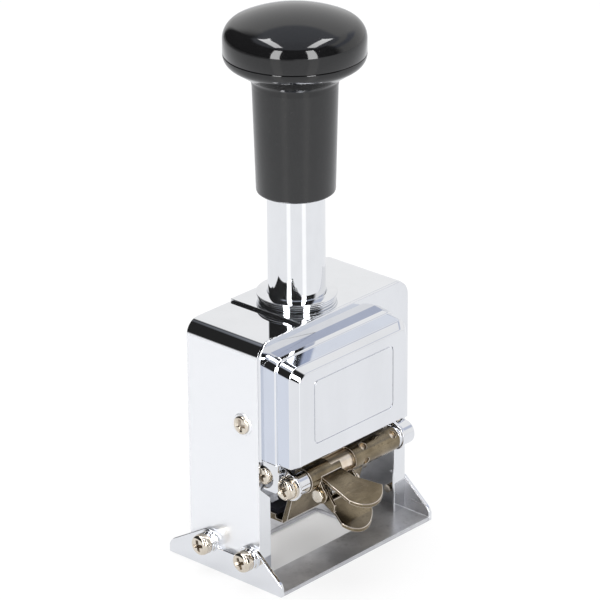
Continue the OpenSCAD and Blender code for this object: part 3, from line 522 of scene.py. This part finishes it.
def flareRings(s):  # hollow run out of the neck, slope, rounded edge
    r, seam, neck, hollow, bowl = s["radius"], s["seam"], s["neck"], s["hollow"], s["bowl"]
    rings = [(neck - 1, s["gripTop"]), (neck - 0.14, s["gripTop"])]
    steep = math.radians(s["steep"])
    for k in range(9):
        a = steep * k / 8
        rings.append((neck + hollow * (1 - math.cos(a)), s["neckHeight"] + hollow * math.sin(a)))
    run = r - neck - (hollow + bowl) * (1 - math.cos(steep))
    bowlHeight = s["neckHeight"] + (hollow + bowl) * math.sin(steep) + run / math.tan(steep)
    for k in range(10, -1, -1):
        a = steep * k / 10
        rings.append((r - bowl * (1 - math.cos(a)), bowlHeight - bowl * math.sin(a)))
    return rings + [(r, seam - 0.28), (r - 0.1, seam - 0.09), (r - 0.3, seam - 0.03),
                    (r - 1.2, seam - 0.03)]


def gripRings(s):  # rounded foot, straight taper
    r, low, top = s["lowRadius"], s["gripLow"], s["gripTop"]
    return [(r - 2.2, low + 0.5), (r - 0.9, low), (r - 0.45, low + 0.08), (r - 0.12, low + 0.35),
            (r, low + 0.8), (s["topRadius"], top - 0.02), (s["topRadius"] - 0.3, top)]


for pieceName, rings, paint, nodeName in (("capHead", capRings(handle), capBlack, "knob_cap"),
                                          ("flareHead", flareRings(handle), capBlack, "knob_flare"),
                                          ("gripBody", gripRings(handle), gripBlack, "grip_sleeve")):
    handlePiece = settle(turned(pieceName, rings, handle["sides"]), handle["angle"])
    place(handlePiece, paint, "carriage", "black_plastic", nodeName)
print("handle turned")

stem = {"radius": 8.15, "low": 63.5, "top": 110, "chamfer": 0.4, "sides": 160}
stemTube = settle(turned("stemTube", [
    (stem["radius"] - stem["chamfer"], stem["low"]), (stem["radius"], stem["low"] + stem["chamfer"]),
    (stem["radius"], stem["top"])], stem["sides"]))
place(stemTube, chromeTurned, "carriage", "bright_steel", "plunger_stem")

# the neck stands in the shell's hole, each ring is (radius, rise)
collar = {"neck": 9.6, "foot": 70.8, "low": 74.4, "bore": 8.2,
          "rings": [(11.0, 0.8), (11.25, 0.7), (11.45, 0.7)], "round": 0.17, "sides": 128}


def collarRings(s):
    rings = [(s["neck"], s["foot"]), (s["neck"], s["low"] - 0.02)]
    base = s["low"]
    r = s["round"]
    for radius, rise in s["rings"]:
        rings += [(radius - r, base), (radius - 0.3 * r, base + 0.3 * r), (radius, base + r),
                  (radius, base + rise - r), (radius - 0.3 * r, base + rise - 0.3 * r),
                  (radius - r, base + rise)]
        base += rise
    return rings + [(s["bore"] + 0.3, base), (s["bore"], base - 0.3), (s["bore"], base - 2)]


collarPiece = settle(turned("collarPiece", collarRings(collar), collar["sides"]))
place(collarPiece, chromeTurned, "frame", "chrome_sheet", "collar_bush")
print("stem and collar turned")

# stepped face cover, drawn forward from the plate (toward -Y)
cover = {"plate": -14.5, "middle": -5.2, "foot": 38.6, "top": 70.6, "half": 25.0, "sheet": 0.8,
         "corner": 3.6, "footCorner": 0.9, "fine": 0.08,
         "label": (-21.7, 11.3, 44.5, 63.7), "recess": (-27, -25.65), "labelPlate": (-25.96, -25.6),
         "gap": 0.17, "wide": 0.32, "round": 1.5, "labelEdge": 0.07,
         "ledge": (-23.75, -19.35),  # where the lower ledge lies, for its painted reflection
         # depth of each level, then how far its sides, top and foot lie inside the first outline;
         # the top also leans forward with the depth
         "lean": 0.15,
         "levels": [(-18.8, 0, 0, 0), (-18.99, 0.04, 0.04, 0), (-19.15, 0.15, 0.12, 0),
                    (-19.26, 0.31, 0.22, 0), (-19.3, 0.5, 0.3, 0), (-19.32, 0.66, 0.34, 0),
                    (-19.38, 0.7, 0.36, 0), (-23.7, 0.7, 0.36, 0.02), (-23.8, 0.73, 0.39, 0.04),
                    (-23.9, 0.82, 0.47, 0.08), (-23.98, 0.93, 0.6, 0.14), (-25.72, 2.5, 1.75, 0.86),
                    (-25.86, 2.7, 1.95, 0.97), (-25.95, 2.92, 2.2, 1.1), (-26, 3.2, 2.5, 1.3)]}


def alongDepth(a, b):  # an edge that runs front to back
    return abs(a.y - b.y) > 0.0002


def steppedShell(s):  # one outline drawn forward level by level, then given its thickness
    foot, top = s["foot"], s["top"]
    bpy.ops.object.select_all(action="DESELECT")
    bpy.ops.mesh.primitive_plane_add(size=1, rotation=(math.radians(90), 0, 0),
                                     location=(s["middle"] * mm, s["plate"] * mm, (foot + top) / 2 * mm))
    piece = bpy.context.object
    piece.name = "coverShell"
    piece.scale = (2 * s["half"] * mm, (top - foot) * mm, 1)
    pick(piece)
    bpy.ops.object.transform_apply(location=True, rotation=True, scale=True)
    edit(piece)
    selectPoints(piece, lambda p: p.z > 0.06)
    bpy.ops.mesh.bevel(offset=s["corner"] * mm, segments=10, affect="VERTICES")
    selectPoints(piece, lambda p: p.z < 0.04)
    bpy.ops.mesh.bevel(offset=s["footCorner"] * mm, segments=5, affect="VERTICES")
    bpy.ops.mesh.select_all(action="SELECT")
    depth, wide, low, high = s["plate"], 2 * s["half"], foot, top
    for nextDepth, side, down, rise in s["levels"]:
        bpy.ops.mesh.extrude_region_move(
            TRANSFORM_OT_translate={"value": (0, (nextDepth - depth) * mm, 0)})
        down += s["lean"] * (s["plate"] - nextDepth)
        nextWide, nextLow, nextHigh = 2 * (s["half"] - side), foot + rise, top - down
        bpy.ops.transform.resize(value=(nextWide / wide, 1, (nextHigh - nextLow) / (high - low)),
                                 center_override=(s["middle"] * mm, 0, low * mm))
        bpy.ops.transform.translate(value=(0, 0, (nextLow - low) * mm))
        depth, wide, low, high = nextDepth, nextWide, nextLow, nextHigh
    selectFaces(piece, lambda c, n: c.y > (s["plate"] - 0.01) * mm)  # the open back
    bpy.ops.mesh.delete(type="ONLY_FACE")
    leave()
    faceOut(piece)
    modify(piece, "SOLIDIFY", thickness=s["sheet"] * mm, offset=-1)
    return piece


def pressedCover(s):
    piece = steppedShell(s)
    left, right, low, high = s["label"]
    recess = block("recess", (left, s["recess"][0], low), (right, s["recess"][1], high))
    roundCorners(recess, s["round"], 6, alongDepth)
    cutAway(piece, recess)
    breakEdges(piece, s["fine"], 60)
    piece.data.materials.append(chromeSheet)
    piece.data.materials.append(chromePaintedReflection)
    front, back = s["ledge"]
    for face in piece.data.polygons:  # flats of the sides and the lower ledge take the paint with the painted blue-grey reflection
        spot = face.center / mm
        onSide = abs(face.normal.x) > 0.97 and not (left < spot.x < right)
        onLedge = face.normal.z > 0.95 and front < spot.y < back and spot.z > 60
        face.material_index = 1 if onSide or onLedge else 0
    return smoothed(piece)


def labelPlate(s):  # bare plate lying in the recess with a narrow groove round it
    left, right, low, high = s["label"]
    front, back = s["labelPlate"]
    piece = block("labelPlate", (left + s["wide"], front, low + s["gap"]),
                  (right - s["gap"], back, high - s["wide"]))
    piece.data.materials.append(chromeSheet)
    roundCorners(piece, s["round"], 6, alongDepth)
    breakEdges(piece, s["labelEdge"], 50)
    return smoothed(piece)


lug = {"low": (-30.2, -19.8, 30.4), "high": (-29.4, -14.5, 39), "corner": 1.1, "fine": 0.12,
       "hollow": 3.3, "centre": (-29.8, -14.9, 34.3)}


def cheekLug(s):  # thin lug below the left side, hollowed round the arm screw
    piece = block("cheekLug", s["low"], s["high"])
    roundCorners(piece, s["corner"], 5, lambda a, b: max(a.y, b.y) < -0.0197 and max(a.z, b.z) < 0.031)
    bpy.ops.object.select_all(action="DESELECT")
    bpy.ops.mesh.primitive_cylinder_add(vertices=48, radius=s["hollow"] * mm, depth=4 * mm,
                                        location=[value * mm for value in s["centre"]],
                                        rotation=(0, math.radians(90), 0))
    cutAway(piece, bpy.context.object)
    breakEdges(piece, s["fine"], 40)
    piece.data.materials.append(chromeSheet)
    return smoothed(piece)


coverShell = joined("coverShell", [pressedCover(cover), labelPlate(cover), cheekLug(lug)])
place(coverShell, None, "frame", "chrome_sheet", "face_cover")
print("cover pressed")

# sheet pieces: node, width of the broken edge, finish
sheets = {
    "leftShell": ("left_shell", 0.16, chromeShell), "rightShell": ("right_shell", 0.16, chromeShell),
    "frontPlate": ("front_plate", 0.28, chromeSheet), "rearPlate": ("rear_plate", 0.15, chromeSheet),
    "baseChannel": ("base_channel", 0.3, channelSteel), "inkArmLeft": ("ink_arm_left", 0.18, chromeSheet),
    "inkArmRight": ("ink_arm_right", 0.18, chromeSheet), "wallCups": ("wall_cups", 0.1, chromeShell)}
for pieceName, (nodeName, width, paint) in sheets.items():
    place(broken(pieceName, nodeName, width, 3), paint, "frame", "chrome_sheet", nodeName)
for pieceName, nodeName in (("baseWashers", "base_washers"), ("armRings", "arm_washers")):
    place(broken(pieceName, nodeName, 0.1), chromeTurned, "frame", "bright_steel", nodeName)
print("sheet edges broken")

# shares of the head: width between the recess arms, size of its floor, depth
screw = {"sides": 64, "waist": 0.4, "point": 0.62, "deep": 0.8, "edge": 0.07,
         # profile of the head from the rim to the middle, as shares of its radius and height
         "profile": [(0.95, 0), (0.99, 0.05), (1, 0.12), (1, 0.46), (0.985, 0.6), (0.945, 0.74),
                     (0.88, 0.85), (0.79, 0.92), (0.62, 0.966), (0.35, 0.992), (0.1, 1)]}


def starCutter(tip, depth, top, s):  # cross recess with blunt arms that narrows toward its floor
    bpy.ops.object.select_all(action="DESELECT")
    bpy.ops.mesh.primitive_circle_add(vertices=12, radius=tip * mm, fill_type="NGON",
                                      rotation=(0, 0, math.radians(15)))
    cutter = bpy.context.object
    bpy.ops.object.transform_apply(rotation=True)
    edit(cutter)
    selectPoints(cutter, lambda p: abs(abs(p.x) - abs(p.y)) < 0.1 * tip * mm)
    bpy.ops.transform.resize(value=(s["waist"], s["waist"], 1), center_override=(0, 0, 0))
    bpy.ops.mesh.select_all(action="SELECT")
    bpy.ops.mesh.extrude_region_move(TRANSFORM_OT_translate={"value": (0, 0, -depth * mm)})
    bpy.ops.transform.resize(value=(s["point"], s["point"], 1), center_override=(0, 0, 0))
    leave()
    faceOut(cutter)
    edit(cutter)
    selectFaces(cutter, lambda c, n: n.z > 0.9)
    bpy.ops.mesh.extrude_region_move(TRANSFORM_OT_translate={"value": (0, 0, 0.6 * mm)})
    bpy.ops.transform.resize(value=(1.1, 1.1, 1), center_override=(0, 0, 0))
    bpy.ops.mesh.select_all(action="SELECT")
    bpy.ops.transform.translate(value=(0, 0, top * mm))
    leave()
    return cutter


# flat-topped cross-recess head; side is +1 or -1 along X, turn the angle of the recess
def screwHead(name, radius, height, tip, centre, side, turn):
    piece = turned(name, [(radius * out, height * up) for out, up in screw["profile"]], screw["sides"])
    cutter = starCutter(tip, height * screw["deep"], height, screw)
    cutter.rotation_euler = (0, 0, math.radians(turn))
    pick(cutter)
    bpy.ops.object.transform_apply(rotation=True)
    cutAway(piece, cutter)
    breakEdges(piece, screw["edge"], 38)
    piece.data.materials.append(nickelBright)
    piece.data.materials.append(recessPaintedShade)
    floorHeight = height * (1 - screw["deep"])
    for face in piece.data.polygons:  # walls and floor of the recess take the darker paint, which is painted shade
        spot = face.center / mm
        inReach = math.hypot(spot.x, spot.y) < tip * 1.02
        inDepth = floorHeight - 0.02 < spot.z < height * 0.985
        steepOrDeep = face.normal.z < 0.7 or spot.z < height * 0.6
        face.material_index = 1 if inReach and inDepth and steepOrDeep else 0
    piece.rotation_euler = (0, side * math.radians(90), 0)
    piece.location = [value * mm for value in centre]
    return settle(piece, 40)


def screwGroup(name, node, entries):  # new heads on the CAD shanks, whose own heads are taken off
    heads = [screwHead(f"{name}{number}", *entry) for number, entry in enumerate(entries)]
    shanks = broken(name + "Shank", node, 0.03, 1)
    shanks.data.materials.append(nickelBright)
    edit(shanks)
    ends = [(centre[0] * mm, side) for _, _, _, centre, side, _ in entries]
    selectFaces(shanks, lambda c, n: any(
        c.x * side > x * side + 0.00002 and c.x * side > 0 for x, side in ends))
    bpy.ops.mesh.delete(type="FACE")
    leave()
    place(joined(name, heads + [shanks]), None, "frame", "nickel_screw", node)


# each head: radius, height, reach of the recess, centre of its seat, side, turn of the recess
screwSets = {
    "baseScrews": ("base_screws", [(3.05, 2.8, 1.85, (-33.8, 5.2, 8.3), -1, 14),
                                   (3.05, 2.8, 1.85, (-33.8, -10.8, 8.3), -1, 24)]),
    "armScrews": ("arm_screws", [(2.75, 1.7, 1.7, (-28.4, -13.6, 34), -1, 20),
                                 (2.75, 1.7, 1.75, (24, -13.6, 34), 1, 35)]),
    "rodScrew": ("rod_screw", [(3.15, 2.4, 1.95, (-25.8, -19.7, 30.7), -1, 38)]),
    "wallScrews": ("wall_screws", [(2.65, 0.75, 2.0, (-31.4, -7.7, 48.3), -1, 8),
                                   (2.65, 0.75, 2.0, (31.4, -7.7, 48.3), 1, 30)])}
for groupName, (nodeName, entries) in screwSets.items():
    screwGroup(groupName, nodeName, entries)
sunkScrews = broken("sunkScrews", "sunk_screws", 0.05, 1)
place(sunkScrews, nickelBright, "frame", "nickel_screw", "sunk_screws")
print("screws made")

for pieceName, nodeName in (("inkHolderPiece", "ink_holder"), ("clipPiece", "clip_lever")):
    # the broken edges take the lighter bronze, a painted highlight
    bronzePiece = broken(pieceName, nodeName, 0.14, paints=(bronzeSheet, bronzeEdgeHighlight))
    place(bronzePiece, None, nodeName, "bronze_sheet", nodeName)  # its body has the same name
pinPiece = broken("pinPiece", "clip_pin", 0.2, 3)
place(pinPiece, nickelBright, "ink_holder", "nickel_screw", "clip_pin")

# each leg of the spring: x, z, tilt, length
coil = {"wire": 0.36, "radius": 1.5, "turns": 5.5, "pitch": 0.78, "left": -13.35, "y": -23.0, "z": 26.2,
        "steps": 24, "legs": [(-13.35, 27.7, 80, 4.95), (-9.06, 24.7, 90, 1.5)],
        "legWire": 0.33}


def coilSpring(s):
    bpy.ops.object.select_all(action="DESELECT")
    bpy.ops.mesh.primitive_circle_add(vertices=12, radius=s["wire"] * mm,
                                      location=(s["radius"] * mm, 0, 0), rotation=(math.radians(90), 0, 0))
    piece = bpy.context.object
    piece.name = "clipCoil"
    bpy.ops.object.transform_apply(location=True, rotation=True)
    steps = int(s["steps"] * s["turns"])
    modify(piece, "SCREW", angle=math.radians(360 * s["turns"]), steps=steps, render_steps=steps,
           screw_offset=s["turns"] * s["pitch"] * mm, use_smooth_shade=True, axis="Z")
    piece.rotation_euler = (0, math.radians(90), 0)
    piece.location = (s["left"] * mm, s["y"] * mm, s["z"] * mm)
    pieces = [settle(piece, 60)]
    for number, (x, z, turn, length) in enumerate(s["legs"]):
        wire = s["legWire"]
        leg = turned(f"leg{number}", [(wire, 0), (wire, length - 0.15), (0.2, length)], 12)
        leg.rotation_euler = (math.radians(turn), 0, 0)
        leg.location = (x * mm, s["y"] * mm, z * mm)
        pieces.append(settle(leg, 50))
    return joined("clipCoil", pieces)


place(coilSpring(coil), springWire, "ink_holder", "spring_steel", "clip_spring")
print("ink holder dressed")

camera = {"spot": (-0.70050, -0.64216, 0.48569), "turn": (66.5493, 0.4312, -47.7270), "lens": 221.7}
bpy.ops.object.camera_add(location=camera["spot"], rotation=[math.radians(a) for a in camera["turn"]])
shot = bpy.context.object
shot.data.lens = camera["lens"]
shot.data.sensor_width = 36
shot.data.clip_start = 0.01
bpy.context.scene.camera = shot

# the overhead and side lamps light the scene; the strips are only seen as highlights, and the two
# over strips lie flat under the ceiling, turned about the upright
lamps = {
    "overhead": {"spot": (0.1, 0.2, 1.1), "aim": (0, 0, 0.05), "size": (0.9, 0.9), "power": 9},
    "sideLeft": {"spot": (-1.0, -0.5, 0.85), "aim": (0, 0, 0.09), "size": (0.3, 0.3), "power": 3.0},
    "sideRight": {"spot": (-0.3, -1.05, 0.85), "aim": (0, 0, 0.09), "size": (0.3, 0.3), "power": 3.0},
    "stripLeft": {"spot": (-1.076, -0.229, 0.62), "aim": (0, 0, 0.62), "size": (0.28, 1.15), "power": 9},
    "stripRight": {"spot": (-0.376, -1.034, 0.62), "aim": (0, 0, 0.62), "size": (0.28, 1.15), "power": 9},
    "overLeft": {"spot": (-0.226, 0.294, 1.15), "turn": 42, "size": (0.95, 0.2), "power": 5.5},
    "overRight": {"spot": (0.278, -0.288, 1.15), "turn": 41, "size": (0.95, 0.22), "power": 6}}
strips = ("stripLeft", "stripRight", "overLeft", "overRight")
for lampName, s in lamps.items():
    bpy.ops.object.light_add(type="AREA", location=s["spot"])
    lamp = bpy.context.object
    lamp.name = lampName
    lamp.data.shape = "RECTANGLE"
    lamp.data.size, lamp.data.size_y = s["size"]
    lamp.data.energy = s["power"]
    if "aim" in s:
        lamp.rotation_euler = (Vector(s["aim"]) - Vector(s["spot"])).to_track_quat("-Z", "Y").to_euler()
    else:
        lamp.rotation_euler = (0, 0, math.radians(s["turn"]))
    lamp.visible_glossy = lampName in strips
    lamp.visible_diffuse = lampName not in strips

bpy.ops.object.select_all(action="DESELECT")
bpy.ops.mesh.primitive_plane_add(size=6, location=(0, 0, -0.00005))
floor = bpy.context.object
floor.name = "floor"


# mirrors see the floor glowing with painted light: paper that darkens far away on one side as painted
# shade and carries two brighter stripes of painted light under the strip lamps; under the machine it is
# less white
def floorFinish(name, look):
    paint, graph, spot = paintOn(name)
    seen, mirrored = graph.rays()
    distance = graph.add("ShaderNodeVectorMath", {"operation": "LENGTH"}, {0: spot}, 1)

    def toward(away):  # 1 where the spot lies that way from the middle
        return graph.add("ShaderNodeVectorMath", {"operation": "DOT_PRODUCT"},
                         {0: spot, 1: (*away, 0)}, 1) / distance

    dark = distance.within(*look["fade"]) * toward(look["dark"]).within(0.15, 0.35)
    tone = graph.blend(dark, look["paper"], look["room"])
    for away in look["stripes"]:
        # painted light: a brighter stripe on the floor under each strip lamp
        paintedLightStripe = toward(away).within(0.986, 0.996) * distance.within(0.05, 0.12)
        tone = graph.blend(paintedLightStripe, tone, look["paintedLightStripe"])
    matt = graph.add("ShaderNodeBsdfDiffuse", {}, {"Color": look["matt"]})
    white = graph.add("ShaderNodeEmission", {}, {"Color": (1, 1, 1, 1), "Strength": 1.0})
    glow = graph.add("ShaderNodeEmission", {}, {"Color": tone, "Strength": 1.0})
    shown = graph.add("ShaderNodeMixShader", {}, {0: mirrored * 0.75, 1: matt, 2: glow})
    across, along, _ = graph.axes(spot)
    under = (1.0 - abs(across).within(*look["across"])) * (1.0 - abs(along).within(*look["along"]))
    shown = graph.add("ShaderNodeMixShader", {}, {0: seen * (0.78 - under * 0.6), 1: shown, 2: white})
    graph.add("ShaderNodeOutputMaterial", {}, {"Surface": shown})
    return paint


floor.data.materials.append(floorFinish("floorPaint", {
    "paper": (0.80, 0.81, 0.83, 1), "room": (0.03, 0.03, 0.032, 1), "paintedLightStripe": (1.14, 1.14, 1.14, 1),
    "matt": (0.83, 0.83, 0.835, 1), "fade": (0.45, 1.25), "dark": (-0.829, 0.559),
    "stripes": [(-0.976, -0.216), (-0.301, -0.954)], "across": (0.026, 0.031), "along": (0.016, 0.022)}))


# the room as mirrors see it: bright behind, dark on the left and in front, a tinted ceiling and a
# bluer patch on the right; the camera itself sees white
def studioWorld(name, look):
    world = bpy.data.worlds.new(name)
    world.use_nodes = True
    graph = Graph(world.node_tree)
    east, north, up = graph.axes(graph.add("ShaderNodeTexCoord", {}, {}, 0))
    flat = (1.0 - up * up) ** 0.5

    def toward(away):  # 1 in that compass direction, 0 across it
        return (east * away[0] + north * away[1]) / flat

    leftDark = toward(look["left"]).within(0.15, 0.35)
    frontDark = toward(look["front"]).within(0.1, 0.4)
    dark = (1.0 - (1.0 - leftDark) * (1.0 - frontDark)) * (1.0 - up.within(0.75, 0.82))
    band = up.within(0.38, 0.5) * (1.0 - up.within(0.6, 0.66))
    rightBlue = toward(look["right"]).within(0.6, 0.85) * band
    tint = graph.blend(up.within(0.73, 0.78), (1, 1, 1, 1), look["ceiling"])
    tint = graph.blend(rightBlue, tint, look["blue"])
    seen, mirrored = graph.rays()
    level = look["level"] - dark * look["fall"]
    room = graph.add("ShaderNodeBackground", {}, {"Color": tint, "Strength": level})
    soft = graph.add("ShaderNodeBackground", {}, {"Color": (1, 1, 1, 1), "Strength": look["soft"]})
    white = graph.add("ShaderNodeBackground", {}, {"Color": (1, 1, 1, 1), "Strength": 1.0})
    shown = graph.add("ShaderNodeMixShader", {}, {0: mirrored, 1: soft, 2: room})
    shown = graph.add("ShaderNodeMixShader", {}, {0: seen, 1: shown, 2: white})
    graph.add("ShaderNodeOutputWorld", {}, {"Surface": shown})
    return world


bpy.context.scene.world = studioWorld("studio", {
    "level": 0.92, "fall": 0.9, "soft": 0.75, "ceiling": (0.54, 0.57, 0.64, 1),
    "blue": (0.58, 0.62, 0.74, 1), "left": (-0.829, 0.559), "front": (-0.737, -0.676),
    "right": (0.78, -0.62)})
bpy.context.scene.view_settings.view_transform = "Standard"
print("studio lit")
